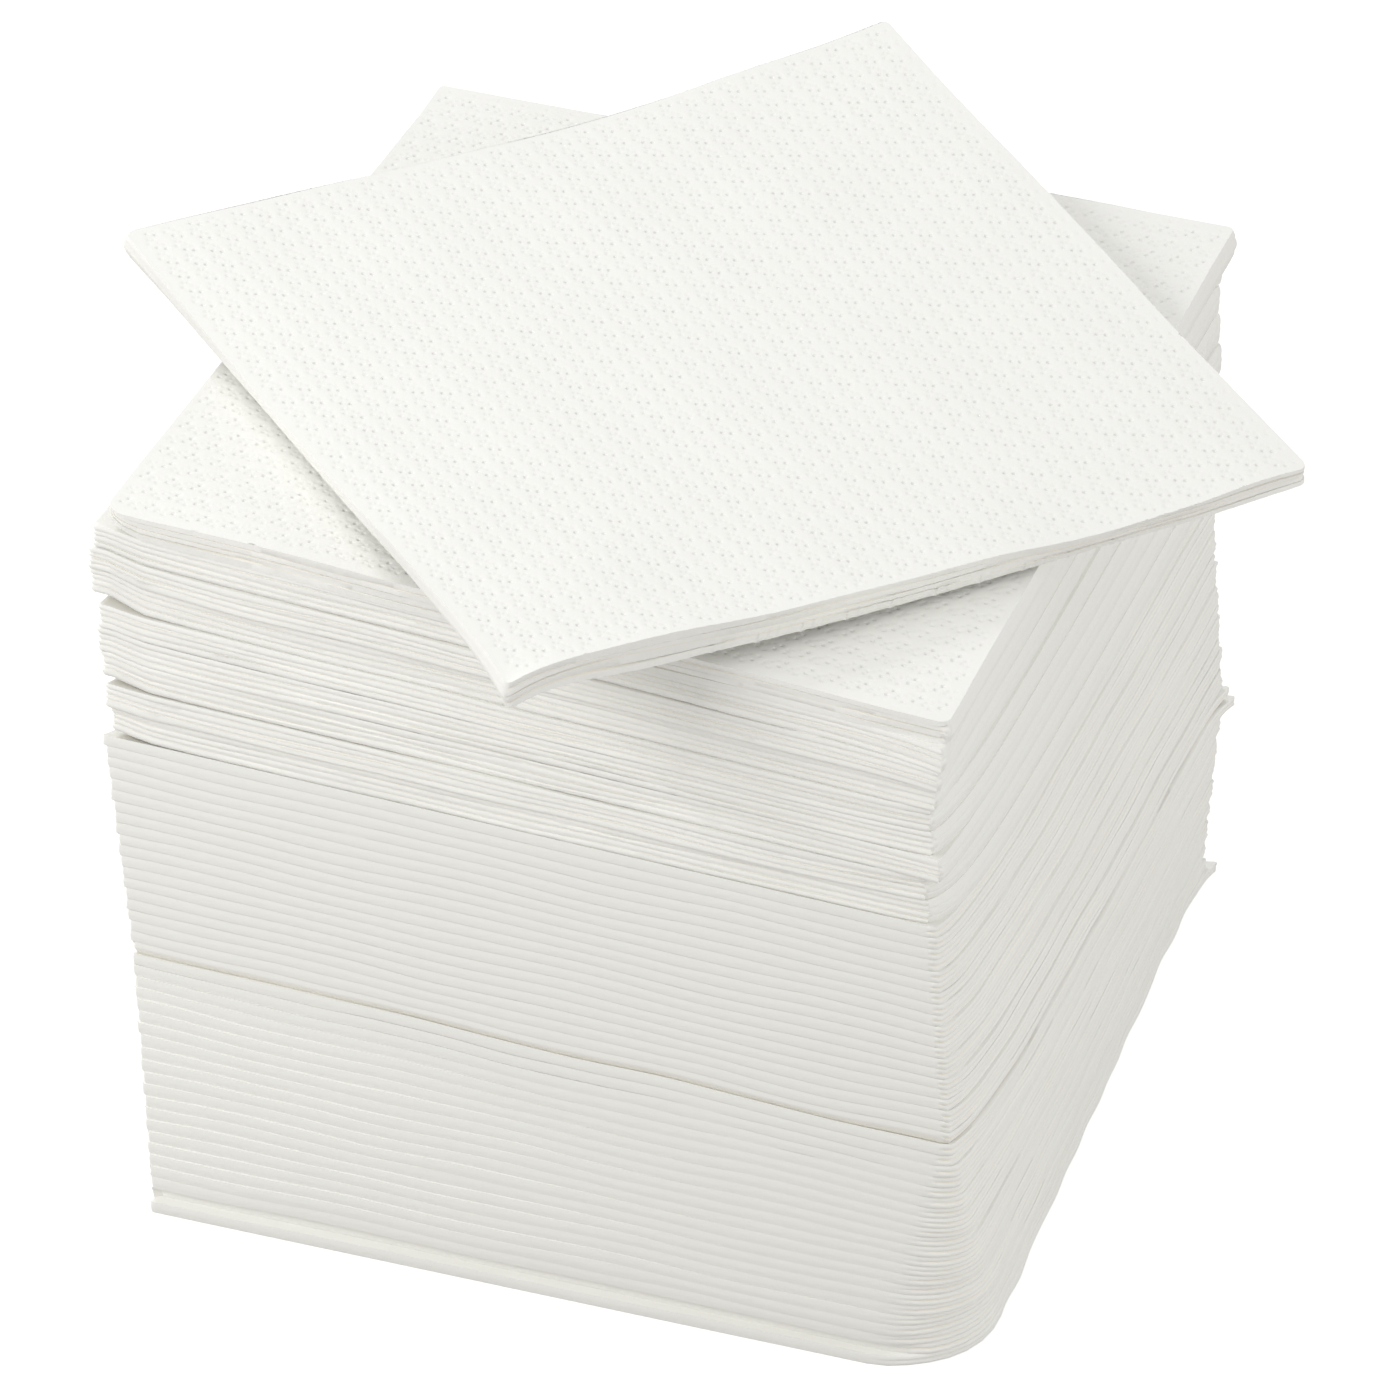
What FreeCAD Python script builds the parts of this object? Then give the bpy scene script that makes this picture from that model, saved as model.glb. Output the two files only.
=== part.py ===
"""A tall stack of quarter-folded white paper napkins, with one more laid on top at an angle.

Each napkin is a square sheet folded twice, so it is one solid of four layers. One of its sides
is the nested fold, the next is the pair of first-fold edges, and the other two show the four
cut layers. X runs along the stack's front, Y to its back and Z up. The origin is on the surface
that the stack stands on, under the middle of the stack. Lengths are in millimetres.
"""
import FreeCAD, Part
import math
import os

# The folded sheet
SIDE = 120.0            # side of a folded napkin, half of the open sheet's
LAYERS = 4              # layers of paper that two folds make
AIR = 0.10              # air left between one napkin and the next
SLIT = 0.16             # opening of the slit between two layers at a cut edge
SLIT_DEPTH = 3.0        # how far that slit reaches in
RIDGE = 0.7             # how far a pressed fold bulges out
RIDGE_EASE = 0.3        # share of its height that each of the bulge's bevels takes
LOBE_CHAMFER = 0.35     # easing of the first-fold edges

# The pressed bundles at the bottom and in the middle
BOTTOM_COUNT = 22
MIDDLE_COUNT = 20
PRESSED_THICK = 1.54    # pitch of the bottom bundle away from its folds
FOLD_EXTRA = 0.39       # more pitch over the nested folds at the front
FOLD_REACH = 14.0       # distance over which that fades
MIDDLE_THICK = 1.84     # pitch of the middle bundle
FRONT_ROUND = 7.0       # radius of the lowest napkins' front corner
CORNER_ROUND = 1.2      # radius of that corner at the top of the bottom bundle
CORNER_STEPS = 3        # flats around that corner, as the pressed paper creases

# The loose napkins above them, in groups with wedges of air between
LOOSE_GROUPS = (2, 3, 3, 1)
LOOSE_THICK = 3.95
TIP_RISE = (1.2, 1.6, 2.4, 2.6)     # how far each group's left tips bend up
TIP_REACH = 7.0
TIP_SHUT = 0.3          # share of a rise that the group below follows
BOW_GAP = 1.1           # the bowed gap over the lowest loose group
BOW_MIDDLE = -10.0
BOW_HALF = 52.0
BOW_DEPTH = 60.0
NOSE = 1.3              # length of the eased nested fold at the right
NOSE_PLUMP = 0.5        # share of the thickness that is left at its end

# The lie of the stack
TWIST = 2.75            # turn of the lowest napkin, in degrees
FOOT_SHIFT = (1.3, -1.6)
WAIST_SHIFT = 0.85
SHOULDER_SHIFT = -2.0
GROUP_SHIFTS = (-1.5, -1.3, -1.9, 0.0)
STRAY = 0.35            # how far a napkin strays from its place
STRAY_STEP = 2.4        # angle from one napkin's stray to the next, in radians
TOP_TILT = -0.87        # rise of the stack's top at its back
TOP_WARP = 2.07         # rise of its two warped corners

# The napkin laid on top
TURNED_ANGLE = -132.08  # its turn, in degrees
TURNED_CENTRE = (3.1, -0.2)
TURNED_THICK = 3.6
CORNER_LIFTS = (3.4, 6.1, 0.2, 3.9)   # lift of its left, front, right and back corners
LIFT_POWER = 1.7
TIP_DROOP = 2.6         # how far the tip of its front corner bends down
DROOP_REACH = 5.0

HALF = SIDE / 2
TINY = 1e-6
OVERSHOOT = 1.0         # how far a cutting shape reaches past what it cuts
MARGIN = 3.0            # the grid of heights reaches this far past the napkins
X_KNOTS = (-HALF - MARGIN, -HALF + 10, 0.0, HALF + MARGIN)
Y_KNOTS = (-HALF - MARGIN, -HALF + 16, HALF + MARGIN)
TURNED_KNOTS = (-HALF - MARGIN, -0.2 * SIDE, HALF - 36, HALF - 8, HALF + MARGIN)


def vector(x, y, z):
    return FreeCAD.Vector(x, y, z)


def fading(distance, reach):
    """1 at no distance, falling towards 0."""
    return math.exp(-abs(distance) / reach)


def cell(knots, value):
    """The knots on either side of a value, and its share of the way between them."""
    index = 0
    while index < len(knots) - 2 and value > knots[index + 1]:
        index += 1
    low, high = knots[index], knots[index + 1]
    return low, high, (value - low) / (high - low)


def on_grid(height, x_knots, y_knots, x, y):
    """A height read off the knots and straight between them, so that neighbours match."""
    x0, x1, across = cell(x_knots, x)
    y0, y1, along = cell(y_knots, y)
    near = height(x0, y0) * (1 - across) + height(x1, y0) * across
    far = height(x0, y1) * (1 - across) + height(x1, y1) * across
    return near * (1 - along) + far * along


def pressed_height(count, y):
    """Height of the pressed stack after so many napkins, at a distance from its middle."""
    low = min(count, BOTTOM_COUNT)
    swell = fading(max(y, -HALF) + HALF, FOLD_REACH)
    return low * (PRESSED_THICK + FOLD_EXTRA * swell) + (count - low) * MIDDLE_THICK


def stack_top(x, y):
    """The warped top of the whole stack."""
    level = BOTTOM_COUNT * (PRESSED_THICK + FOLD_EXTRA) + MIDDLE_COUNT * MIDDLE_THICK
    level += sum(LOOSE_GROUPS) * LOOSE_THICK
    return level + TOP_TILT * y / HALF + TOP_WARP * (x / HALF) * (y / HALF)


def group_level(group, x, y):
    """Height between two groups of loose napkins, before any gap opens."""
    share = sum(LOOSE_GROUPS[:group]) / sum(LOOSE_GROUPS)
    foot = pressed_height(BOTTOM_COUNT + MIDDLE_COUNT, y)
    return foot + share * (stack_top(x, y) - foot)


def gap_under(group, x, y):
    """The air under a group: its left tips bend up, and the second group also bows up."""
    gap = TIP_RISE[group] * fading(max(x, -HALF) + HALF, TIP_REACH)
    if group == 1:
        bow = max(0.0, 1 - ((x - BOW_MIDDLE) / BOW_HALF) ** 2)
        gap += BOW_GAP * bow * max(0.0, 1 - (y + HALF) / BOW_DEPTH)
    return gap


def loose_height(group, order, x, y):
    """Height of a napkin's underside in its group, and of the group's top after the last."""
    low = group_level(group, x, y) + gap_under(group, x, y)
    high = group_level(group + 1, x, y)
    if group + 1 < len(LOOSE_GROUPS):
        high += TIP_SHUT * TIP_RISE[group + 1] * fading(max(x, -HALF) + HALF, TIP_REACH)
    return low + (high - low) * order / LOOSE_GROUPS[group]


def polygon(points):
    return Part.makePolygon(points + [points[0]])


def inside(knots, first, last):
    """Two ends and the knots between them."""
    return [first] + [k for k in knots if first + TINY < k < last - TINY] + [last]


def slit_points(edge, inward, share, height):
    """A slit that narrows inwards from an end of a section, from its lower lip up."""
    lip = height(edge, share)
    floor = edge + inward * SLIT_DEPTH
    return [(edge, lip - SLIT / 2), (floor, height(floor, share)), (edge, lip + SLIT / 2)]


def cut_end(edge, inward, height):
    """The slits between the four cut layers at one end of a section, from the bottom up."""
    points = []
    for layer in range(1, LAYERS):
        points += slit_points(edge, inward, layer / LAYERS, height)
    return points


def lobe_end(edge, inward, height):
    """The two eased first-fold edges at one end of a section, from the bottom up."""
    low, high = height(edge, 0), height(edge, 1)
    slit = slit_points(edge, inward, 1 / 2, height)
    return [(edge, low + LOBE_CHAMFER)] + slit + [(edge, high - LOBE_CHAMFER)]


def stray(index, phase):
    """A small steady wander from one napkin to the next."""
    return STRAY * math.sin(STRAY_STEP * index + phase)


def slit_strip(x, ys, heights):
    """A thin upright strip that follows the line between two layers."""
    lower = [vector(x, y, z - SLIT / 2) for y, z in zip(ys, heights)]
    upper = [vector(x, y, z + SLIT / 2) for y, z in zip(ys, heights)]
    return polygon(lower + upper[::-1])


def pressed_napkin(index):
    """A napkin in one of the pressed bundles, with its nested fold at the front."""
    if index < BOTTOM_COUNT:
        rise = index / BOTTOM_COUNT
        shift = (FOOT_SHIFT[0] + (WAIST_SHIFT - FOOT_SHIFT[0]) * rise, FOOT_SHIFT[1] * (1 - rise))
        turn = TWIST * (1 - rise)
    else:
        rise = (index - BOTTOM_COUNT) / MIDDLE_COUNT
        shift = (WAIST_SHIFT + (SHOULDER_SHIFT - WAIST_SHIFT) * rise, 0.0)
        turn = 0.0
    x0 = shift[0] - HALF + stray(index, 0.0)
    x1 = shift[0] + HALF + stray(index, 1.0)
    y0 = shift[1] - HALF + stray(index, 2.0)
    y1 = shift[1] + HALF + stray(index, 3.0)

    def low(y):
        return on_grid(lambda _, knot: pressed_height(index, knot), X_KNOTS, Y_KNOTS, 0.0, y)

    def high(y):
        return on_grid(lambda _, knot: pressed_height(index + 1, knot), X_KNOTS, Y_KNOTS, 0.0, y) - AIR

    def height(y, share):
        return low(y) + (high(y) - low(y)) * share

    line = inside(Y_KNOTS, y0 + RIDGE, y1)
    points = [(y, low(y)) for y in line] + cut_end(y1, -1, height) + [(y, high(y)) for y in line[::-1]]
    points += [(y0, height(y0, 1 - RIDGE_EASE)), (y0, height(y0, RIDGE_EASE))]
    outline = polygon([vector(x0, y, z) for y, z in points])
    slab = Part.Face(outline).extrude(vector(x1 - x0, 0, 0))

    ys = inside(Y_KNOTS, y0 - OVERSHOOT, y1 + OVERSHOOT)
    reach = vector(OVERSHOOT + SLIT_DEPTH, 0, 0)
    for layer in range(1, LAYERS):
        strip = slit_strip(x0 - OVERSHOOT, ys, [height(y, layer / LAYERS) for y in ys])
        slab = slab.cut(Part.Face(strip).extrude(reach))
    # The corner where both folds meet is closed, so the slit between the lobes starts behind it
    ys = inside(Y_KNOTS, y0 + FRONT_ROUND + RIDGE, y1 + OVERSHOOT)
    strip = slit_strip(x1 - SLIT_DEPTH, ys, [height(y, 1 / 2) for y in ys])
    slab = slab.cut(Part.Face(strip).extrude(reach))

    if index < BOTTOM_COUNT:
        radius = CORNER_ROUND + (FRONT_ROUND - CORNER_ROUND) * (1 - rise)
        slab = slab.common(corner_post(x0, x1, y0, y1, radius, low(y1) - OVERSHOOT, high(y0) + OVERSHOOT))
        slab.rotate(vector(shift[0], shift[1], 0), vector(0, 0, 1), turn)
    return slab


def corner_post(x0, x1, y0, y1, radius, z0, z1):
    """The footprint of a napkin with its front right corner rounded, as an upright post."""
    corners = [vector(x1, y1, z0), vector(x0, y1, z0), vector(x0, y0, z0)]
    for step in range(CORNER_STEPS + 1):
        angle = math.pi / 2 * step / CORNER_STEPS
        corners.append(vector(x1 - radius * (1 - math.sin(angle)), y0 + radius * (1 - math.cos(angle)), z0))
    return Part.Face(polygon(corners)).extrude(vector(0, 0, z1 - z0))


def open_section(x, y0, y1, knots, low, high, plump):
    """A section across a loose napkin: cut layers at the front, first-fold edges at the back."""
    def height(y, share):
        bottom, top = low(x, y), high(x, y)
        return (bottom + top) / 2 + (top - bottom) * plump * (share - 0.5)

    line = inside(knots, y0, y1 - LOBE_CHAMFER)
    points = [(y, height(y, 0)) for y in line] + lobe_end(y1, -1, height)
    points += [(y, height(y, 1)) for y in line[::-1]] + cut_end(y0, 1, height)[::-1]
    return polygon([vector(x, y, z) for y, z in points])


def open_napkin(x0, x1, y0, y1, x_knots, y_knots, low, high):
    """A loose napkin between two surfaces, with its nested fold at the right."""
    stations = [(x, 1.0) for x in inside(x_knots, x0, x1 - NOSE)] + [(x1, NOSE_PLUMP)]
    sections = [open_section(x, y0, y1, y_knots, low, high, plump) for x, plump in stations]
    body = Part.makeLoft(sections, True, True)
    ys = inside(y_knots, y0 - OVERSHOOT, y1 + OVERSHOOT)
    for layer in range(1, LAYERS):
        share = layer / LAYERS
        ends = []
        for x in (x0 - OVERSHOOT, x0 + SLIT_DEPTH):
            heights = [low(x, y) + (high(x, y) - low(x, y)) * share for y in ys]
            ends.append(slit_strip(x, ys, heights))
        body = body.cut(Part.makeLoft(ends, True, True))
    return body


def loose_napkin(group, order, index):
    """A napkin in one of the loose groups."""
    x0 = GROUP_SHIFTS[group] - HALF + stray(index, 0.0)
    x1 = GROUP_SHIFTS[group] + HALF + stray(index, 1.0)
    y0 = -HALF + stray(index, 2.0)
    y1 = HALF + stray(index, 3.0)

    def low(x, y):
        return on_grid(lambda a, b: loose_height(group, order, a, b), X_KNOTS, Y_KNOTS, x, y)

    def high(x, y):
        return on_grid(lambda a, b: loose_height(group, order + 1, a, b), X_KNOTS, Y_KNOTS, x, y) - AIR

    return open_napkin(x0, x1, y0, y1, X_KNOTS, Y_KNOTS, low, high)


def corner_lift(across, along):
    """Lift of the turned napkin at shares of its half side, from -1 to 1."""
    signs = ((1, -1), (1, 1), (-1, 1), (-1, -1))
    lift = 0.0
    for (sign_x, sign_y), rise in zip(signs, CORNER_LIFTS):
        near = max(0.0, (1 + sign_x * across) * (1 + sign_y * along) / 4)
        lift += rise * near ** LIFT_POWER
    return lift


def turned_napkin():
    """The napkin on top, laid at an angle: its free corners lift, and the front tip droops."""
    angle = math.radians(TURNED_ANGLE)
    front_tip = (HALF, HALF)

    def underside(x, y):
        place_x = TURNED_CENTRE[0] + x * math.cos(angle) - y * math.sin(angle)
        place_y = TURNED_CENTRE[1] + x * math.sin(angle) + y * math.cos(angle)
        rest = stack_top(min(max(place_x, -HALF), HALF), min(max(place_y, -HALF), HALF))
        droop = TIP_DROOP * fading(math.hypot(x - front_tip[0], y - front_tip[1]), DROOP_REACH)
        return rest + AIR + corner_lift(x / HALF, y / HALF) - droop

    # Built with its cut layers at the front and mirrored, because it lies the other way up
    front_knots = [-knot for knot in TURNED_KNOTS[::-1]]

    def low(x, y):
        return on_grid(lambda a, b: underside(a, -b), TURNED_KNOTS, front_knots, x, y)

    def high(x, y):
        return low(x, y) + TURNED_THICK

    body = open_napkin(-HALF, HALF, -HALF, HALF, TURNED_KNOTS, front_knots, low, high)
    body = body.mirror(vector(0, 0, 0), vector(0, 1, 0))
    body.rotate(vector(0, 0, 0), vector(0, 0, 1), TURNED_ANGLE)
    body.translate(vector(TURNED_CENTRE[0], TURNED_CENTRE[1], 0))
    return body


def build():
    """Every napkin by its node's name, from the bottom up."""
    napkins = {}
    for index in range(BOTTOM_COUNT + MIDDLE_COUNT):
        napkins["napkin_%02d" % (index + 1)] = pressed_napkin(index)
    index = BOTTOM_COUNT + MIDDLE_COUNT
    for group, count in enumerate(LOOSE_GROUPS):
        for order in range(count):
            napkins["napkin_%02d" % (index + 1)] = loose_napkin(group, order, index)
            index += 1
    napkins["turned_napkin"] = turned_napkin()
    return napkins


os.makedirs("parts", exist_ok=True)
for name, shape in build().items():
    solid = shape.Solids[0] if len(shape.Solids) == 1 else shape
    print(name, len(shape.Solids), "valid" if shape.isValid() else "INVALID", round(shape.Volume))
    solid.exportStep("parts/%s.step" % name)
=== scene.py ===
"""A tall stack of quarter-folded paper napkins with embossed faces, and one more laid across it.

Each napkin is a closed mesh of its own: four layers of tissue with nested folds on one side,
two first-fold edges on the next and cut layers on the other two. Lengths are in metres, in the
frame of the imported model: X along the stack's front, Y to its back and Z up.
"""
import math

import bpy
import numpy as np
from bpy.props import FloatProperty, FloatVectorProperty, IntProperty, PointerProperty
from bpy.types import Operator, Panel, PropertyGroup
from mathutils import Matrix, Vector


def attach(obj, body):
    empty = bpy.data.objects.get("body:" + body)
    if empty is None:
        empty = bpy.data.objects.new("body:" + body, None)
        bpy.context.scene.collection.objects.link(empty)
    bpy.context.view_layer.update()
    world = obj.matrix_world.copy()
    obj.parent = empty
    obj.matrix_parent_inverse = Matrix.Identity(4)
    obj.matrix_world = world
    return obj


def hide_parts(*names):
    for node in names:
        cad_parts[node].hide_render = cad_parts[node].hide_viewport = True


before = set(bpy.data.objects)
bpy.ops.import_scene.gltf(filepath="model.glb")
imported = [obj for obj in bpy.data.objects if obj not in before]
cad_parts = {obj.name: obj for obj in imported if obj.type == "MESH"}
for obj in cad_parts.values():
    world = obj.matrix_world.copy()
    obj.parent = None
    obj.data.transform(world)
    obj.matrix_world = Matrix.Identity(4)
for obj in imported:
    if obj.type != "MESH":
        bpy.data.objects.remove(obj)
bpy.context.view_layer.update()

bl_info = {
    "name": "Stack of Paper Napkins",
    "version": (1, 0, 0),
    "blender": (4, 5, 0),
    "location": "View3D > Sidebar > Napkins",
    "description": "Builds a stack of embossed, quarter-folded paper napkins and its plain studio",
    "category": "Object",
}

MM = 0.001

# The pressed bundles at the bottom and in the middle of the stack
BOTTOM_COUNT = 22
MIDDLE_COUNT = 20
PRESSED_THICK = 1.54 * MM
FOLD_EXTRA = 0.39 * MM
FOLD_REACH = 14 * MM
MIDDLE_THICK = 1.84 * MM
FRONT_ROUND = 15 * MM
CORNER_ROUND = 1.2 * MM

# The loose napkins above them, in groups with wedges of air between
LOOSE_GROUPS = (2, 3, 3, 1)
LOOSE_THICK = 3.95 * MM
TIP_RISE = (1.2 * MM, 1.6 * MM, 2.4 * MM, 2.6 * MM)
TIP_REACH = 7 * MM
TIP_SHUT = 0.3
TIP_KINK = 5 * MM
TIP_SHARP = 0.6
# Narrow openings along the front, under a loose napkin: its number from the lowest loose one,
# the opening, and where it starts and ends along the front
OPENINGS = (
    (1, 0.10 * MM, -50 * MM, 10 * MM),
    (3, 0.14 * MM, -20 * MM, 60 * MM),
    (4, 0.14 * MM, -56 * MM, 15 * MM),
    (6, 0.28 * MM, -55 * MM, 62 * MM),
    (7, 0.32 * MM, -55 * MM, 18 * MM),
)
OPENING_EASE = 22 * MM
OPENING_REACH = 0.7 * MM
BOW_GAP = 0.35 * MM
BOW_MIDDLE = -10 * MM
BOW_HALF = 52 * MM
BOW_DEPTH = 0.8 * MM

# The lie of the stack
TWIST = math.radians(2.75)
FOOT_SHIFT = (1.3 * MM, -1.6 * MM)
WAIST_SHIFT = 0.85 * MM
SHOULDER_SHIFT = -2.0 * MM
GROUP_SHIFTS = (-1.5 * MM, -1.3 * MM, -1.9 * MM, 0.0)
# Where the loose napkins start on the left and end on the right, from the lowest up
LOOSE_STARTS = (-61.0 * MM, -61.2 * MM, -61.8 * MM, -62.1 * MM, -61.8 * MM, -62.9 * MM, -62.8 * MM,
                -62.2 * MM)
LOOSE_ENDS = (57.3 * MM, 57.0 * MM, 59.3 * MM, 58.0 * MM, 57.7 * MM, 58.3 * MM, 59.3 * MM, 59.9 * MM)
END_REACH = 7 * MM
NOSE_STRAY = 0.3
STRAY = 0.35 * MM
STRAY_STEP = 2.4
FRONT_STRAY = 0.06      # share of the stray that shows at the pressed napkins' front
LEFT_STRAY = 0.4
RIGHT_STRAY = 0.4
# Napkins that stand proud or back at the front, and those whose back right tips stick out
FRONT_STEPS = {0: 0.30 * MM, 1: -1.05 * MM, 2: -0.15 * MM, 21: 0.05 * MM, 22: -0.10 * MM}
BACK_TIPS = {0: 2.0 * MM, 1: 0.8 * MM, 20: 0.7 * MM, 21: 1.6 * MM, 22: 0.9 * MM}
BACK_TIP_REACH = 3 * MM
FOOT_WANDER = 0.15 * MM     # how far the lowest napkins' right side strays
FOOT_WANDER_SPREAD = 5
FOOT_WAVES = 24
VALLEY_DEPTH = 0.35 * MM    # how far the middle bundle's edge falls back towards the gap under it
# share of painted crease shade where that edge falls back to the gap
VALLEY_SHADE = 0.6
TOP_TILT = -0.87 * MM
TOP_WARP = 2.07 * MM

# The napkin laid on top
TURNED_ANGLE = math.radians(-132.08)
TURNED_CENTRE = (3.1 * MM, -0.2 * MM)
TURNED_THICK = 3.6 * MM
CORNER_LIFTS = (3.4 * MM, 6.1 * MM, 0.2 * MM, 3.9 * MM)
LIFT_POWER = 1.7
TIP_DROOP = 2.6 * MM
DROOP_REACH = 5 * MM
# How far the turned napkin's lower and upper faces stand above their plain form at its edges, each
# as the place along the edge and the two heights. The cut edge runs from the front corner to the
# right one, the fold from the left corner to the front one, the far edge from the right of the back
# corner to the left one.
CUT_EDGE = (
    (-60 * MM, 0.0 * MM, 0.4 * MM),
    (-53 * MM, 0.2 * MM, 1.0 * MM),
    (-39 * MM, -1.2 * MM, 1.0 * MM),
    (-20 * MM, -1.3 * MM, 0.4 * MM),
    (0 * MM, -0.8 * MM, 0.8 * MM),
    (13 * MM, -0.5 * MM, 0.8 * MM),
    (32 * MM, -0.2 * MM, -0.4 * MM),
    (45 * MM, 0.0 * MM, -0.4 * MM),
    (52 * MM, 0.6 * MM, 0.8 * MM),
    (60 * MM, 1.2 * MM, 0.0 * MM),
)
FOLD_EDGE = (
    (-60 * MM, 0.0 * MM, 0.0 * MM),
    (-44 * MM, -0.8 * MM, -0.6 * MM),
    (-28 * MM, -2.0 * MM, -1.4 * MM),
    (-10 * MM, -2.2 * MM, -1.5 * MM),
    (10 * MM, -2.2 * MM, -1.3 * MM),
    (28 * MM, -1.6 * MM, -0.7 * MM),
    (46 * MM, -0.4 * MM, -0.2 * MM),
    (60 * MM, 0.0 * MM, 0.0 * MM),
)
FAR_EDGE = (
    (-60 * MM, 0.0 * MM, 0.0 * MM),
    (-30 * MM, 0.3 * MM, 0.3 * MM),
    (10 * MM, -0.5 * MM, -0.5 * MM),
    (60 * MM, 0.0 * MM, 0.0 * MM),
)
FACE_WAVE = 0.13 * MM    # unevenness of the faces that show
# How far the foot of each side of an embossed napkin is tucked in, and how far the middle of the
# turned napkin's nested side bows in
TURNED_TUCKS = (0.0, 2.2 * MM, 2.0 * MM, 0.0)
TOP_TUCKS = (0.0, 0.0, 0.0, 0.0)
TURNED_BOW = 0.3 * MM
BOW_REACH = 12 * MM
EDGE_SMOOTHING = 5 * MM
EDGE_REACH = 12 * MM
TURNED_CORNERS = (0.8 * MM, 1.6 * MM, 1.0 * MM, 1.5 * MM)   # back, left, front and right
TOP_CORNERS = (3.0 * MM, 1.6 * MM, 1.0 * MM, 0.8 * MM)      # from the front left one round

# What each side of a folded napkin shows, from its front side round to its left side
PRESSED_SIDES = ("nested", "lobes", "cut", "cut")
LOOSE_SIDES = ("cut", "nested", "lobes", "cut")
TURNED_SIDES = ("lobes", "nested", "cut", "cut")

LAYERS = 4
PRESSED_STEPS = (62, 84, 84, 84)    # lengths that each side of a pressed napkin is made of
LOOSE_STEPS = (130, 90, 90, 110)
ARC_STEPS = 8
ARC_BLEND = 2.5         # how much sooner than a corner's arc ends, one side's fold turns into the next
LOOSE_LIPS = 4          # points up each layer of a loose napkin
PRESSED_LIPS = 2
EMBOSS_ROWS = 36        # rows of the emboss's lattice across a napkin
EMBOSS_CELLS = 32       # cells in each row; every other row is set on by half a cell
CELL_STEPS = 8          # lengths of the mesh across a row and along a cell
# The pits in each cell: place across the row and along it from the cell's middle, and depth share
PITS = (
    (-0.52 * MM, 0.33 * MM, 1.00),
    (0.53 * MM, -0.34 * MM, 1.00),
    (0.26 * MM, 1.42 * MM, 0.50),
    (0.80 * MM, 1.14 * MM, 0.50),
    (1.25 * MM, -1.55 * MM, 0.55),
    (-0.15 * MM, -1.48 * MM, 0.32),
    (-0.69 * MM, -0.75 * MM, 0.32),
)
WEAK_WIDTH = 1.25       # width of the weaker pits, as a multiple of the strong ones'


class NapkinSizes(PropertyGroup):
    side: FloatProperty(
        name="Folded side", description="Side of a folded napkin", default=120 * MM, unit="LENGTH")
    air: FloatProperty(
        name="Air", description="Air between one napkin and the next", default=0.006 * MM, unit="LENGTH")
    slit: FloatProperty(
        name="Slit", description="Opening between two layers at a cut edge", default=0.09 * MM,
        unit="LENGTH")
    slit_depth: FloatProperty(
        name="Slit depth", description="How far that opening reaches in", default=0.17 * MM,
        unit="LENGTH")
    ridge: FloatProperty(
        name="Ridge", description="How far a nested fold bulges", default=0.085 * MM, unit="LENGTH")
    lobe: FloatProperty(
        name="Lobe", description="How far a first-fold edge bulges", default=0.18 * MM, unit="LENGTH")
    nose: FloatProperty(
        name="Nose", description="How far a loose napkin's nested fold bulges", default=0.6 * MM,
        unit="LENGTH")
    wander: FloatProperty(
        name="Wander", description="How far an edge strays from a straight line",
        default=0.12 * MM, unit="LENGTH")
    fray: FloatProperty(
        name="Fray", description="Roughness of the cut edges", default=0.06 * MM, unit="LENGTH")
    fray_grain: FloatProperty(
        name="Fray grain", description="Size of that roughness", default=0.9 * MM, unit="LENGTH")


class EmbossSizes(PropertyGroup):
    radius: FloatProperty(
        name="Pin radius", description="Radius of the pit that a pin leaves", default=0.62 * MM,
        unit="LENGTH")
    depth: FloatProperty(
        name="Pin depth", description="Depth of that pit", default=0.24 * MM, unit="LENGTH")
    core_radius: FloatProperty(
        name="Core radius", description="Radius of the sharp core of a pit", default=0.36 * MM,
        unit="LENGTH")
    core_depth: FloatProperty(
        name="Core depth", description="Depth of that core", default=0.15 * MM, unit="LENGTH")
    margin: FloatProperty(
        name="Margin", description="Width of the smooth strip along the folds",
        default=1.2 * MM, unit="LENGTH")
    seed: IntProperty(name="Seed", description="Pattern of the pits' uneven depths", default=4)


class PaperLook(PropertyGroup):
    paper: FloatVectorProperty(
        name="Paper", description="Colour of the tissue", subtype="COLOR", size=3,
        min=0, max=1, default=(0.912, 0.908, 0.872))
    # Crease shade is painted warm shade: the tissue is made darker and warmer deep in the slits between layers,
    # on the napkins' undersides and along the gap under the middle bundle.
    crease: FloatVectorProperty(
        name="Crease", description="Colour of the tissue deep between two layers", subtype="COLOR",
        size=3, min=0, max=1, default=(0.90, 0.86, 0.77))
    # Painted shade: how much the colour is darkened inside the pin pits.
    painted_pit_shade: FloatProperty(
        name="Pin shade", description="How much darker a pit looks inside", default=0.06, min=0, max=1)
    grain: FloatProperty(
        name="Grain", description="Height of the tissue's fibres", default=0.05 * MM, unit="LENGTH")


class StudioLook(PropertyGroup):
    sky: FloatProperty(
        name="Sky", description="Strength of the even light from all round", default=0.67)
    key: FloatProperty(
        name="Key lamp", description="Power of the soft lamp at the back left", default=2.9,
        subtype="POWER")
    fill: FloatProperty(
        name="Fill lamp", description="Power of the soft lamp at the front left", default=1.5,
        subtype="POWER")
    side: FloatProperty(
        name="Side lamp", description="Power of the soft lamp at the right", default=1.1,
        subtype="POWER")
    lens: FloatProperty(
        name="Lens", description="Focal length of the camera in millimetres", default=236.1)


def fading(distance, reach):
    """1 at no distance, falling towards 0."""
    return np.exp(-np.abs(distance) / reach)


def closing(distance, reach):
    """1 at no distance, falling in a straight line to 0 at the reach."""
    return np.clip(1 - distance / reach, 0, 1)


def smooth_step(value):
    """0 below 0 and 1 above 1, with an eased rise between."""
    share = np.clip(value, 0, 1)
    return share * share * (3 - 2 * share)


def hump(value, start, end, ease):
    """1 between a start and an end, easing to 0 outside them."""
    return smooth_step((value - start) / ease + 1) * smooth_step((end - value) / ease + 1)


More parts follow.
